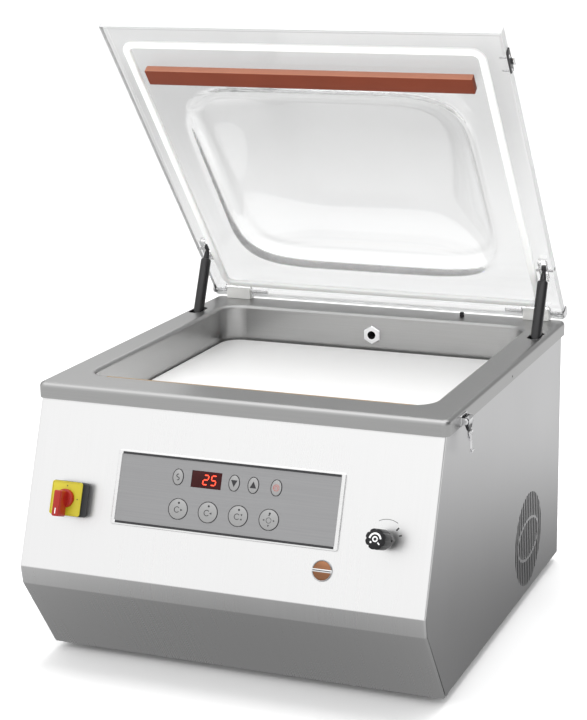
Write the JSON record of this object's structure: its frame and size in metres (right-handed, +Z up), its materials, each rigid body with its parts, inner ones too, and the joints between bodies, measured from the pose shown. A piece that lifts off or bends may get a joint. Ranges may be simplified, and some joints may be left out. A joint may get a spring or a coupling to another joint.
{
  "type": "vacuum packing machine",
  "caption": "Table-top chamber vacuum packing machine: stainless housing with sloping control panel, filler boards, seal bar and a hinged clear domed lid on gas springs.",
  "frame": {"origin": "on the bench surface, under the middle of the machine's footprint", "axes": "+X to the operator's right, +Y to the hinge side at the back, +Z up"},
  "size_m": [0.5607, 0.6288, 0.7955],
  "materials": {
    "tank_steel": "satin drawn stainless steel",
    "front_steel": "bright satin stainless steel",
    "side_steel": "brushed stainless steel",
    "plain_steel": "zinc-plated steel",
    "black_rubber": "moulded rubber",
    "white_plastic": "machined white plastic",
    "bright_metal": "plated and polished",
    "bare_aluminium": "extruded aluminium",
    "tan_tape": "woven glass tape with a PTFE face",
    "white_board": "white polyethylene board",
    "black_plastic": "fine-grained black plastic",
    "clear_acrylic": "clear polished acrylic",
    "white_silicone": "white silicone",
    "brown_silicone": "red-brown silicone",
    "black_paint": "gloss black paint",
    "yellow_plastic": "moulded yellow plastic",
    "red_plastic": "moulded red plastic",
    "frame_aluminium": "anodised aluminium",
    "grey_keypad": "printed membrane",
    "display_red": "tinted window",
    "key_caps": "printed membrane key",
    "copper_disc": "brushed copper",
    "cast_pump": "painted casting",
    "motor_paint": "painted motor body",
    "brass_block": "machined brass",
    "transformer_iron": "laminated iron",
    "green_board": "printed circuit board"
  },
  "bodies": {
    "housing": {"chamber_tank": "tank_steel", "front_panel": "front_steel", "left_side_panel": "side_steel", "right_side_panel": "side_steel", "rear_panel": "side_steel", "base_plate": "plain_steel", "rubber_feet": "black_rubber", "hinge_blocks": "white_plastic", "spring_brackets": "plain_steel", "vacuum_port_nut": "bright_metal", "vacuum_hose": "black_rubber", "lift_cylinders": "white_plastic", "lid_switch": "black_plastic", "latch_base": "bright_metal", "switch_housing": "black_plastic", "switch_plate": "yellow_plastic", "keypad_frame": "frame_aluminium", "keypad_sheet": "grey_keypad", "display_window": "display_red", "air_valve": "bright_metal", "badge_disc": "copper_disc", "fan_frame": "black_plastic", "vacuum_pump": "cast_pump", "pump_motor": "motor_paint", "exhaust_filter": "motor_paint", "valve_block": "brass_block", "transformer": "transformer_iron", "control_board": "green_board", "mains_inlet": "black_plastic", "rear_screws": "bright_metal"},
    "lid": {"lid_plate": "clear_acrylic", "lid_gasket": "white_silicone", "silicone_bar": "brown_silicone", "hinge_pins": "bright_metal", "spring_pins": "bright_metal", "lid_catch": "bright_metal"},
    "left_spring_tube": {"left_gas_tube": "black_paint"},
    "left_spring_rod": {"left_gas_rod": "bright_metal"},
    "right_spring_tube": {"right_gas_tube": "black_paint"},
    "right_spring_rod": {"right_gas_rod": "bright_metal"},
    "bottom_filler": {"bottom_board": "white_board"},
    "middle_filler": {"middle_board": "white_board"},
    "top_filler": {"top_board": "white_board"},
    "sealing_jaw": {"seal_bar": "bare_aluminium", "seal_bar_tape": "tan_tape", "seal_bar_rods": "plain_steel"},
    "switch_plunger": {"lid_switch_pin": "white_plastic"},
    "toggle_lever": {"latch_lever": "bright_metal"},
    "toggle_claw": {"latch_claw": "bright_metal"},
    "main_switch": {"switch_knob": "red_plastic"},
    "air_dial": {"air_knob": "black_plastic"},
    "cooling_fan": {"fan_rotor": "black_plastic"},
    "program_button": {"program_key": "key_caps"},
    "down_button": {"down_key": "key_caps"},
    "up_button": {"up_key": "key_caps"},
    "stop_button": {"stop_key": "key_caps"},
    "vacuum_button": {"vacuum_key": "key_caps"},
    "gas_button": {"gas_key": "key_caps"},
    "seal_button": {"seal_key": "key_caps"},
    "vent_button": {"vent_key": "key_caps"}
  },
  "joints": [
    {"name": "lid_hinge", "type": "hinge", "parent": "housing", "child": "lid", "pos_m": [0, 0.3036, 0.375], "axis": [-1, 0, 0], "range_deg": [-52.07, 0], "stiffness_Nm_per_rad": 6.5, "springref_deg": 103.13},
    {"name": "left_tube_tilt", "type": "hinge", "parent": "lid", "child": "left_spring_tube", "pos_m": [-0.257, 0.24686, 0.4478], "axis": [-1, 0, 0], "range_deg": [0, 51.2]},
    {"name": "left_rod_slide", "type": "slide", "parent": "left_spring_tube", "child": "left_spring_rod", "axis": [0, 0.4012, 0.916], "range_m": [0, 0.0812]},
    {"name": "right_tube_tilt", "type": "hinge", "parent": "lid", "child": "right_spring_tube", "pos_m": [0.257, 0.24686, 0.4478], "axis": [-1, 0, 0], "range_deg": [0, 51.2]},
    {"name": "right_rod_slide", "type": "slide", "parent": "right_spring_tube", "child": "right_spring_rod", "axis": [0, 0.4012, 0.916], "range_m": [0, 0.0812]},
    {"name": "bottom_board_lift", "type": "slide", "parent": "housing", "child": "bottom_filler", "axis": [0, 0, 1], "range_m": [0, 0.02]},
    {"name": "middle_board_lift", "type": "slide", "parent": "bottom_filler", "child": "middle_filler", "axis": [0, 0, 1], "range_m": [0, 0.02]},
    {"name": "top_board_lift", "type": "slide", "parent": "middle_filler", "child": "top_filler", "axis": [0, 0, 1], "range_m": [0, 0.04]},
    {"name": "seal_bar_lift", "type": "slide", "parent": "housing", "child": "sealing_jaw", "axis": [0, 0, 1], "range_m": [0, 0.008]},
    {"name": "lid_switch_press", "type": "slide", "parent": "housing", "child": "switch_plunger", "axis": [0, 0, -1], "range_m": [0, 0.005], "stiffness_N_per_m": 300, "springref_m": -0.002},
    {"name": "latch_lever_swing", "type": "hinge", "parent": "housing", "child": "toggle_lever", "pos_m": [0.279, -0.1715, 0.3485], "axis": [0, -1, 0], "range_deg": [0, 150]},
    {"name": "latch_claw_swing", "type": "hinge", "parent": "toggle_lever", "child": "toggle_claw", "pos_m": [0.2822, -0.1715, 0.334], "axis": [0, -1, 0], "range_deg": [0, 60]},
    {"name": "main_switch_turn", "type": "hinge", "parent": "housing", "child": "main_switch", "pos_m": [-0.206, -0.28479, 0.23257], "axis": [0, -0.9339, 0.3575], "range_deg": [-90, 0]},
    {"name": "air_dial_turn", "type": "hinge", "parent": "housing", "child": "air_dial", "pos_m": [0.21, -0.28808, 0.22954], "axis": [0, -0.9339, 0.3575], "range_deg": [-270, 0]},
    {"name": "fan_spin", "type": "hinge", "parent": "housing", "child": "cooling_fan", "pos_m": [0.26, 0.147, 0.088], "axis": [1, 0, 0], "continuous": true},
    {"name": "program_press", "type": "slide", "parent": "housing", "child": "program_button", "axis": [0, 0.9339, -0.3575], "range_m": [0, 0.0008], "stiffness_N_per_m": 600, "springref_m": -0.001},
    {"name": "down_press", "type": "slide", "parent": "housing", "child": "down_button", "axis": [0, 0.9339, -0.3575], "range_m": [0, 0.0008], "stiffness_N_per_m": 600, "springref_m": -0.001},
    {"name": "up_press", "type": "slide", "parent": "housing", "child": "up_button", "axis": [0, 0.9339, -0.3575], "range_m": [0, 0.0008], "stiffness_N_per_m": 600, "springref_m": -0.001},
    {"name": "stop_press", "type": "slide", "parent": "housing", "child": "stop_button", "axis": [0, 0.9339, -0.3575], "range_m": [0, 0.0008], "stiffness_N_per_m": 600, "springref_m": -0.001},
    {"name": "vacuum_press", "type": "slide", "parent": "housing", "child": "vacuum_button", "axis": [0, 0.9339, -0.3575], "range_m": [0, 0.0008], "stiffness_N_per_m": 600, "springref_m": -0.001},
    {"name": "gas_press", "type": "slide", "parent": "housing", "child": "gas_button", "axis": [0, 0.9339, -0.3575], "range_m": [0, 0.0008], "stiffness_N_per_m": 600, "springref_m": -0.001},
    {"name": "seal_press", "type": "slide", "parent": "housing", "child": "seal_button", "axis": [0, 0.9339, -0.3575], "range_m": [0, 0.0008], "stiffness_N_per_m": 600, "springref_m": -0.001},
    {"name": "vent_press", "type": "slide", "parent": "housing", "child": "vent_button", "axis": [0, 0.9339, -0.3575], "range_m": [0, 0.0008], "stiffness_N_per_m": 600, "springref_m": -0.001}
  ],
  "couplings": [
    {"joint": "left_tube_tilt", "follows": "lid_hinge", "ratio": -0.97928},
    {"joint": "left_rod_slide", "follows": "lid_hinge", "m_per_rad": -0.089044},
    {"joint": "right_tube_tilt", "follows": "lid_hinge", "ratio": -0.97928},
    {"joint": "right_rod_slide", "follows": "lid_hinge", "m_per_rad": -0.089044}
  ]
}
